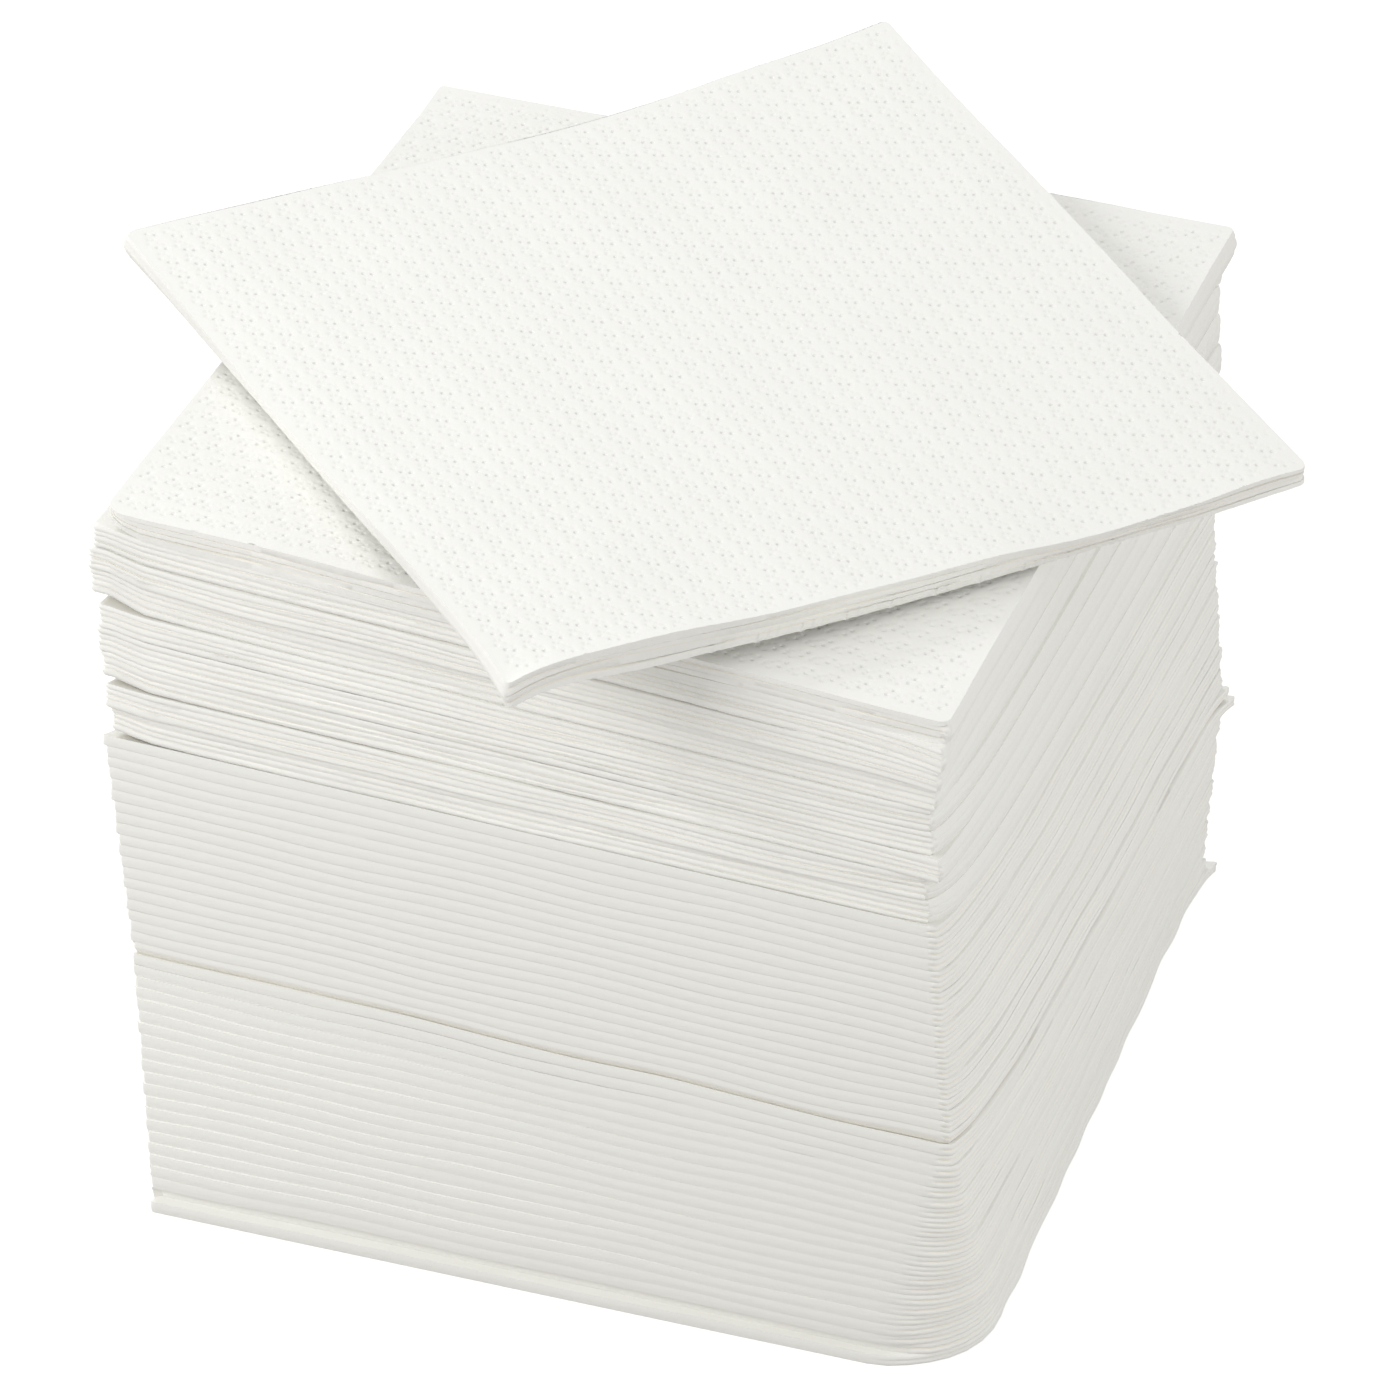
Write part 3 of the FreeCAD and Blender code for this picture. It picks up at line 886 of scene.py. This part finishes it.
def tissue_material(name, look, unevenness, fibre_size, crush, pins=None):
    """Matt white tissue with a fibrous surface and painted warm shade in its creases, with pin marks where
    their sizes are given: a bump and painted shade in the pits.
    """
    if name in bpy.data.materials:
        return bpy.data.materials[name]
    material = bpy.data.materials.new(name)
    material.use_nodes = True
    maker = TreeMaker(material.node_tree)
    shader = material.node_tree.nodes["Principled BSDF"]
    tint = maker.add("ShaderNodeGroup", {"node_tree": tint_group()}, Paper=(*look.paper, 1),
                     Crease=(*look.crease, 1), Unevenness=unevenness)
    grain = maker.add("ShaderNodeGroup", {"node_tree": grain_group()}, Fibre_Size=fibre_size, Crush=crush)
    colour = tint.outputs[0]
    bump = maker.add("ShaderNodeBump", Height=grain.outputs["Height"], Strength=1.0, Distance=look.grain)
    if pins:
        marks = maker.add("ShaderNodeGroup", {"node_tree": pin_group()}, **pins)
        # Painted shade: the colour darkens inside the pits, by their depth.
        shade = maker.math("MULTIPLY_ADD", marks.outputs["Mask"], -look.painted_pit_shade, 1.0)
        colour = maker.vector("SCALE", colour, scale=shade)
        bump = maker.add("ShaderNodeBump", {"invert": True}, Height=marks.outputs["Depth"], Strength=1.0,
                         Distance=1.0, Normal=bump.outputs[0])
    maker.feed(shader.inputs["Base Color"], colour)
    maker.feed(shader.inputs["Roughness"], grain.outputs["Roughness"])
    maker.feed(shader.inputs["Normal"], bump.outputs[0])
    shader.inputs["Specular IOR Level"].default_value = 0.25
    return material


def pin_sizes(sizes, emboss):
    """Sizes of the pin pattern, as the geometry tree's and the shader group's inputs."""
    return {
        "Row Spacing": sizes.side / EMBOSS_ROWS,
        "Cell Length": sizes.side / EMBOSS_CELLS,
        "Pin Radius": emboss.radius,
        "Pin Depth": emboss.depth,
    }


def embossed_material(scene):
    """The tissue of the napkins whose faces show, with fine pits inside the modelled ones, bumped and with
    painted shade.
    """
    emboss = scene.emboss_sizes
    pins = {name.replace(" ", "_"): value
            for name, value in pin_sizes(scene.napkin_sizes, emboss).items()}
    pins.update(Pin_Radius=emboss.core_radius, Pin_Depth=emboss.core_depth, Seed=float(emboss.seed))
    return tissue_material("embossed_tissue", scene.paper_look, 0.015, 0.4 * MM, 0.8, pins)


def finish_piece(piece, node, material):
    """Gives a napkin's mesh its material if it has none, ties it to the body and hides the solid that it stands
    for.
    """
    if not piece.data.materials:
        piece.data.materials.append(material)
    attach(piece, "root")
    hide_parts(node)


def fray(piece, sizes, seed, material):
    run_tree(piece, fray_tree(), {
        "Fray": sizes.fray, "Grain": sizes.fray_grain, "Seed": float(seed), "Material": material})


def node_name(index):
    return "napkin_%02d" % (index + 1)


def valley(index, height):
    """How close the points of a pressed napkin's wall are to the gap under the bundle, 0 to 1."""
    return smooth_step(1 - 2 * height) if index == BOTTOM_COUNT else np.zeros_like(height)


def pressed_lie(index):
    """Shift, turn and front right corner radius of a pressed napkin."""
    if index < BOTTOM_COUNT:
        rise = index / BOTTOM_COUNT
        shift = (FOOT_SHIFT[0] + (WAIST_SHIFT - FOOT_SHIFT[0]) * rise, FOOT_SHIFT[1] * (1 - rise))
        return shift, TWIST * (1 - rise), CORNER_ROUND + (FRONT_ROUND - CORNER_ROUND) * (1 - rise)
    rise = (index - BOTTOM_COUNT) / MIDDLE_COUNT
    return (WAIST_SHIFT + (SHOULDER_SHIFT - WAIST_SHIFT) * rise, 0.0), 0.0, CORNER_ROUND


def build_pressed(index, sizes, material):
    """A napkin in one of the pressed bundles."""
    half = sizes.side / 2
    shift, turn, radius = pressed_lie(index)
    x0 = shift[0] - half + LEFT_STRAY * stray(index, 0.0)
    x1 = shift[0] + half + RIGHT_STRAY * stray(index, 1.0)
    y0 = shift[1] - half + FRONT_STRAY * stray(index, 2.0)
    y1 = shift[1] + half + stray(index, 3.0)
    small = CORNER_ROUND / 2
    points, shares = outline(x0, x1, y0, y1, (small, radius, small, small), PRESSED_STEPS)
    walls = wall(sizes, PRESSED_SIDES, points, shares, index, PRESSED_LIPS, sizes.ridge, MIDDLE_THICK)
    walls["out"] += shares[:, 0] * FRONT_STEPS.get(index, 0.0)
    foot = FOOT_WANDER * fading(index, FOOT_WANDER_SPREAD)
    walls["out"] += shares[:, 1] * foot * ripple(walls["around"], index // 3, FOOT_WAVES)
    low = valley(index, walls["height"])
    walls["out"] -= VALLEY_DEPTH * low
    # Painted crease shade on the edge as it falls back towards the gap under the bundle.
    walls["crease"] = np.maximum(walls["crease"], VALLEY_SHADE * low)
    from_corner = np.linalg.norm(points - (x1, y1), axis=1)
    walls["out"] += BACK_TIPS.get(index, 0.0) * fading(from_corner, BACK_TIP_REACH)

    def level(x, y, share, around):
        place = turned_round(np.column_stack([x, y]), turn, np.array(shift))
        low, high = (
            pressed_height(count, place[:, 1], half) + bundle_wave(count, place[:, 0], place[:, 1])
            + bundle_gap(count, index, place[:, 0], place[:, 1], half) for count in (index, index + 1))
        return low + (high - sizes.air - low) * share

    solid, faces, facts = banded_napkin(node_name(index), points, shares, walls, level, half)
    solid = turned_round(solid, turn, np.array(shift))
    facts["outward"] = turned_round(facts["outward"], turn, np.zeros(2))
    solid[:, 2] = np.maximum(solid[:, 2], 0.0)
    # The lowest napkin gets no painted crease shade.
    if index == 0:
        facts["crease"][:] = 0
    piece = make_mesh(node_name(index), solid, faces, facts)
    fray(piece, sizes, index, material)
    finish_piece(piece, node_name(index), material)


def opening_under(loose, x, y, half):
    """Height of the narrow opening along the front under a loose napkin."""
    gap = 0.0
    for number, amount, start, end in OPENINGS:
        if number == loose:
            gap = gap + amount * hump(x, start, end, OPENING_EASE) * closing(y + half, OPENING_REACH)
    return gap


def loose_level(group, order, loose, sizes):
    """Function for the height inside a loose napkin at a place and a share of its thickness."""
    half = sizes.side / 2

    def level(x, y, share, around):
        low = loose_height(group, order, x, y, half) + opening_under(loose, x, y, half)
        high = loose_height(group, order + 1, x, y, half) - sizes.air
        if group + 1 == len(LOOSE_GROUPS):
            high = high + FACE_WAVE * (waves(x, y, 21, 26 * MM) - 1)
        return low + (high - low) * share

    return level


def build_loose(index, group, order, sizes, material):
    """A napkin in one of the loose groups."""
    half = sizes.side / 2
    x0 = LOOSE_STARTS[index - BOTTOM_COUNT - MIDDLE_COUNT]
    x1 = GROUP_SHIFTS[group] + half + NOSE_STRAY * stray(index, 1.0)
    y0 = -half + stray(index, 2.0)
    y1 = half + stray(index, 3.0)
    small = CORNER_ROUND / 2
    points, shares = outline(x0, x1, y0, y1, (small, small, small, small), LOOSE_STEPS)
    walls = wall(sizes, LOOSE_SIDES, points, shares, index, LOOSE_LIPS, sizes.nose, LOOSE_THICK)
    end = LOOSE_ENDS[index - BOTTOM_COUNT - MIDDLE_COUNT] - x1
    walls["out"] += end * fading(points[:, 0] - x1, END_REACH) * fading(points[:, 1] - y0, END_REACH)
    level = loose_level(group, order, index - BOTTOM_COUNT - MIDDLE_COUNT, sizes)
    solid, faces, facts = banded_napkin(node_name(index), points, shares, walls, level, half)
    piece = make_mesh(node_name(index), solid, faces, facts)
    fray(piece, sizes, index, material)
    finish_piece(piece, node_name(index), material)


def grid_outline(columns, rows):
    """Numbers of the points round the rim of a grid, from its front left corner on."""
    numbers = np.arange((columns + 1) * (rows + 1)).reshape(rows + 1, columns + 1)
    return np.concatenate([numbers[0, :-1], numbers[:-1, -1], numbers[-1, :0:-1], numbers[:0:-1, 0]])


def rounded_corners(points, x0, x1, y0, y1, radii):
    """Points of a square, drawn in at its corners so that the rim runs round arcs."""
    moved = points.copy()
    corners = ((x0, y0, 1, 1), (x1, y0, -1, 1), (x1, y1, -1, -1), (x0, y1, 1, -1))
    for (x, y, way_x, way_y), radius in zip(corners, radii):
        middle = np.array([x + way_x * radius, y + way_y * radius])
        off = points - middle
        near = (off[:, 0] * way_x < 0) & (off[:, 1] * way_y < 0)
        length = np.linalg.norm(off[near], axis=1)
        share = np.abs(off[near]).max(axis=1) / np.maximum(length, TINY)
        moved[near] = middle + off[near] * share[:, None]
    return moved


def embossed_napkin(name, box, radii, sides, tucks, bow, level, sizes, emboss, seed, thick, placed,
                    rows_along_x):
    """A napkin whose upper face is a fine grid, ready for the pins' pits, and its right side nested folds.

    placed turns its flat place into where it lies."""
    x0, x1, y0, y1 = box
    x1 -= sizes.nose
    columns, rows = EMBOSS_ROWS * CELL_STEPS, EMBOSS_CELLS * CELL_STEPS
    if rows_along_x:
        columns, rows = rows, columns
    half = sizes.side / 2
    grid_x, grid_y = np.meshgrid(np.linspace(x0, x1, columns + 1), np.linspace(y0, y1, rows + 1))
    flat = rounded_corners(np.column_stack([grid_x.ravel(), grid_y.ravel()]), x0, x1, y0, y1, radii)
    middling = np.maximum(0.0, 1 - (flat[:, 1] / half) ** 2)
    flat[:, 0] -= bow * middling * fading(x1 - flat[:, 0], BOW_REACH)
    rim = grid_outline(columns, rows)
    points = flat[rim]
    steps = (columns, rows, columns, rows)
    shares = np.concatenate([np.tile(np.eye(4)[side], (steps[side], 1)) for side in range(4)])
    kernel = np.ones(CORNER_BLEND) / CORNER_BLEND
    shares = np.column_stack([
        np.convolve(np.concatenate([column[-CORNER_BLEND:], column, column[:CORNER_BLEND]]), kernel,
                    "same")[CORNER_BLEND:-CORNER_BLEND] for column in shares.T])
    walls = wall(sizes, sides, points, shares, seed, PRESSED_LIPS, sizes.nose, thick, OPEN_GAPE)
    walls["out"] += sizes.nose * shares[:, sides.index("nested")]
    slack = 1 - (np.abs(points - points.mean(axis=0)).min(axis=1) / half) ** 2
    walls["out"] -= (shares @ np.array(tucks)) * slack * (1 - walls["height"])
    middle = points.mean(axis=0)
    count = len(points)
    around = walls["around"]
    top = np.column_stack([flat, level(flat[:, 0], flat[:, 1], np.ones(len(flat)), 0.0)])
    rings = []
    for out, height in zip(walls["out"][::-1], walls["height"][::-1]):
        spot = towards_middle(points, middle, out + EDGE_PROUD, half)
        rings.append(np.column_stack([spot, level(spot[:, 0], spot[:, 1], height, around)]))
    for inset in UNDER_RINGS:
        spot = towards_middle(points, middle, np.full(count, -inset), half)
        rings.append(np.column_stack([spot, level(spot[:, 0], spot[:, 1], np.zeros(count), around)]))
    low = level(middle[:1], middle[1:], np.zeros(1), 0.0)
    solid = np.concatenate([top, *rings, [[middle[0], middle[1], float(low[0])]]])
    column, row = np.meshgrid(np.arange(columns), np.arange(rows))
    corner = (row * (columns + 1) + column).ravel()
    grid = np.stack([corner, corner + 1, corner + columns + 2, corner + columns + 1], -1)
    first = len(top)
    band = np.stack([rim, first + np.arange(count), first + (np.arange(count) + 1) % count,
                     np.roll(rim, -1)], -1)
    bands = ring_faces(len(rings), count, first)[:, ::-1]
    last_ring = first + (len(rings) - 1) * count + np.arange(count)
    faces = [grid, band, bands, fan_faces(last_ring, len(solid) - 1, False)]
    near_edge = np.minimum(half - np.abs(solid[:, 0] - middle[0]), half - np.abs(solid[:, 1] - middle[1]))
    embossed = smooth_step((near_edge - emboss.margin / 2) / emboss.margin)
    flat_place = solid[:, :2] - middle
    if rows_along_x:
        flat_place = np.column_stack([-flat_place[:, 1], flat_place[:, 0]])
    facts = {"embossed": embossed, "flat_place": np.column_stack([flat_place, np.zeros(len(solid))])}
    lead = np.zeros(len(top))
    tail = np.zeros(len(UNDER_RINGS) * count + 1)
    for fact in ("tone", "crease", "frayed"):
        facts[fact] = np.concatenate([lead, walls[fact][::-1].ravel(), tail])
    outward = (solid[:, :2] - middle) / np.maximum(
        np.linalg.norm(solid[:, :2] - middle, axis=1), TINY)[:, None]
    start = np.column_stack(placed(solid[:, 0], solid[:, 1]))
    outward = np.column_stack(placed(solid[:, 0] + outward[:, 0], solid[:, 1] + outward[:, 1])) - start
    solid[:, :2] = start
    facts["outward"] = np.column_stack([outward, np.zeros(len(outward))])
    return make_mesh(name, solid, faces, facts)


CORNER_BLEND = 5
EDGE_PROUD = 0.12 * MM
OPEN_GAPE = 2.6         # how much more the slits of the uppermost napkins open
UNDER_RINGS = (1.5 * MM, 8 * MM, 22 * MM, 40 * MM)


def press(piece, sizes, emboss, seed, material):
    """Embosses a napkin's face and frays its cut edges."""
    run_tree(piece, emboss_tree(), {
        **pin_sizes(sizes, emboss), "Seed": emboss.seed, "Material": material})
    fray(piece, sizes, seed, material)


class BuildPressedNapkins(Operator):
    """Builds the tightly pressed napkins of the lower two bundles"""
    bl_idname = "napkins.build_pressed"
    bl_label = "Pressed Napkins"

    def execute(self, context):
        scene = context.scene
        material = tissue_material("pressed_tissue", scene.paper_look, 0.012, 0.45 * MM, 0.7)
        for index in range(BOTTOM_COUNT + MIDDLE_COUNT):
            build_pressed(index, scene.napkin_sizes, material)
        return {"FINISHED"}


class BuildLooseNapkins(Operator):
    """Builds the loose napkins above the pressed ones, apart from the uppermost"""
    bl_idname = "napkins.build_loose"
    bl_label = "Loose Napkins"

    def execute(self, context):
        scene = context.scene
        material = tissue_material("loose_tissue", scene.paper_look, 0.02, 0.5 * MM, 0.7)
        index = BOTTOM_COUNT + MIDDLE_COUNT
        for group, count in enumerate(LOOSE_GROUPS[:-1]):
            for order in range(count):
                build_loose(index, group, order, scene.napkin_sizes, material)
                index += 1
        return {"FINISHED"}


class BuildTopNapkin(Operator):
    """Builds the uppermost napkin of the stack, with its embossed face"""
    bl_idname = "napkins.build_top"
    bl_label = "Top Napkin"

    def execute(self, context):
        scene = context.scene
        sizes, emboss = scene.napkin_sizes, scene.emboss_sizes
        material = embossed_material(scene)
        half = sizes.side / 2
        group = len(LOOSE_GROUPS) - 1
        loose = sum(LOOSE_GROUPS) - 1
        index = BOTTOM_COUNT + MIDDLE_COUNT + loose
        level = loose_level(group, 0, loose, sizes)
        box = (GROUP_SHIFTS[group] - half, GROUP_SHIFTS[group] + half, -half, half)
        piece = embossed_napkin(node_name(index), box, TOP_CORNERS, LOOSE_SIDES, TOP_TUCKS, 0.0, level,
                                sizes, emboss, index, LOOSE_THICK, lambda x, y: (x, y), True)
        press(piece, sizes, emboss, index, material)
        finish_piece(piece, node_name(index), material)
        return {"FINISHED"}


class BuildTurnedNapkin(Operator):
    """Builds the napkin that is laid across the stack, with its corners lifted"""
    bl_idname = "napkins.build_turned"
    bl_label = "Turned Napkin"

    def execute(self, context):
        scene = context.scene
        sizes, emboss = scene.napkin_sizes, scene.emboss_sizes
        material = embossed_material(scene)
        half = sizes.side / 2
        index = BOTTOM_COUNT + MIDDLE_COUNT + sum(LOOSE_GROUPS)
        piece = embossed_napkin("turned_napkin", (-half, half, -half, half), TURNED_CORNERS,
                                TURNED_SIDES, TURNED_TUCKS, TURNED_BOW, turned_level(half, sizes),
                                sizes, emboss, index, TURNED_THICK, turned_place, False)
        press(piece, sizes, emboss, index, material)
        finish_piece(piece, "turned_napkin", material)
        return {"FINISHED"}


def seen_by_camera(maker):
    """1 for what the camera sees, straight or in a mirror or through glass."""
    path = maker.add("ShaderNodeLightPath").outputs
    return maker.math("MAXIMUM", path["Is Camera Ray"],
                      maker.math("MAXIMUM", path["Is Glossy Ray"], path["Is Transmission Ray"]))


def floor_material():
    """Matt white floor that looks brighter to the camera than it lights the napkins."""
    material = bpy.data.materials.new("floor_white")
    material.use_nodes = True
    maker = TreeMaker(material.node_tree)
    shader = material.node_tree.nodes["Principled BSDF"]
    shader.inputs["Base Color"].default_value = (*FLOOR_COLOUR, 1)
    shader.inputs["Roughness"].default_value = 0.9
    shader.inputs["Specular IOR Level"].default_value = 0.0
    glow = maker.vector("SCALE", (1, 1, 1), scale=maker.math("MULTIPLY", seen_by_camera(maker), FLOOR_GLOW))
    maker.feed(shader.inputs["Emission Color"], glow)
    shader.inputs["Emission Strength"].default_value = 1.0
    return material


FLOOR_COLOUR = (0.57, 0.555, 0.535)
FLOOR_GLOW = 0.68


FLOOR_SIZE = 12.0
FLOOR_GAP = 0.05 * MM    # keeps the floor clear of the stack's underside
CAMERA_PLACE = (0.36672, -0.96384, 0.83208)
CAMERA_TILT = math.radians(90 - 36.84)
CAMERA_TURN = math.radians(20.71)


def add_lamp(name, place, aim, size, power):
    """A soft square lamp that points at a place."""
    lamp = bpy.data.lights.new(name, "AREA")
    lamp.size = size
    lamp.energy = power
    holder = bpy.data.objects.new(name, lamp)
    holder.location = place
    holder.rotation_euler = (Vector(aim) - Vector(place)).to_track_quat("-Z", "Y").to_euler()
    bpy.context.scene.collection.objects.link(holder)


class BuildStage(Operator):
    """Lays a plain pale floor and sets up the soft lamps and the camera"""
    bl_idname = "napkins.build_stage"
    bl_label = "Stage"

    def execute(self, context):
        scene = context.scene
        look = scene.studio_look
        mesh = bpy.data.meshes.new("floor")
        reach = FLOOR_SIZE / 2
        mesh.from_pydata([(-reach, -reach, 0), (reach, -reach, 0), (reach, reach, 0), (-reach, reach, 0)],
                         [], [(0, 1, 2, 3)])
        mesh.materials.append(floor_material())
        floor = bpy.data.objects.new("floor", mesh)
        floor.location.z = -FLOOR_GAP
        scene.collection.objects.link(floor)
        world = bpy.data.worlds.new("studio")
        scene.world = world
        world.use_nodes = True
        maker = TreeMaker(world.node_tree)
        back = world.node_tree.nodes["Background"]
        back.inputs["Color"].default_value = (1, 1, 1, 1)
        strength = maker.math("MULTIPLY_ADD", seen_by_camera(maker), 1 - look.sky, look.sky)
        maker.feed(back.inputs["Strength"], strength)
        top = (0, 0, 0.1)
        add_lamp("key", (-0.7, 0.6, 0.9), top, 0.4, look.key)
        add_lamp("fill", (-0.35, -0.4, 0.45), top, 0.3, look.fill)
        add_lamp("side", (0.75, -0.1, 0.25), top, 0.4, look.side)
        camera = bpy.data.cameras.new("camera")
        camera.lens = look.lens
        camera.clip_end = 20
        holder = bpy.data.objects.new("camera", camera)
        holder.location = CAMERA_PLACE
        holder.rotation_euler = (CAMERA_TILT, 0, CAMERA_TURN)
        scene.collection.objects.link(holder)
        scene.camera = holder
        scene.view_settings.view_transform = "Standard"
        return {"FINISHED"}


class NapkinsPanel(Panel):
    """Lists the steps that build the stack"""
    bl_label = "Napkins"
    bl_idname = "NAPKINS_PT_build"
    bl_space_type = "VIEW_3D"
    bl_region_type = "UI"
    bl_category = "Napkins"

    def draw(self, context):
        for operator in OPERATORS:
            self.layout.operator(operator.bl_idname)
        for group in GROUPS:
            self.layout.label(text=group.__name__)
            owner = getattr(context.scene, GROUPS[group])
            for name in group.__annotations__:
                self.layout.prop(owner, name)


OPERATORS = (BuildPressedNapkins, BuildLooseNapkins, BuildTopNapkin, BuildTurnedNapkin, BuildStage)
GROUPS = {
    NapkinSizes: "napkin_sizes",
    EmbossSizes: "emboss_sizes",
    PaperLook: "paper_look",
    StudioLook: "studio_look",
}
CLASSES = (*GROUPS, *OPERATORS, NapkinsPanel)


def register():
    for item in CLASSES:
        bpy.utils.register_class(item)
    for group, name in GROUPS.items():
        setattr(bpy.types.Scene, name, PointerProperty(type=group))


def unregister():
    for name in GROUPS.values():
        delattr(bpy.types.Scene, name)
    for item in reversed(CLASSES):
        bpy.utils.unregister_class(item)


def main():
    register()
    bpy.ops.napkins.build_stage()
    bpy.ops.napkins.build_pressed()
    bpy.ops.napkins.build_loose()
    bpy.ops.napkins.build_top()
    bpy.ops.napkins.build_turned()


if __name__ == "__main__":
    main()
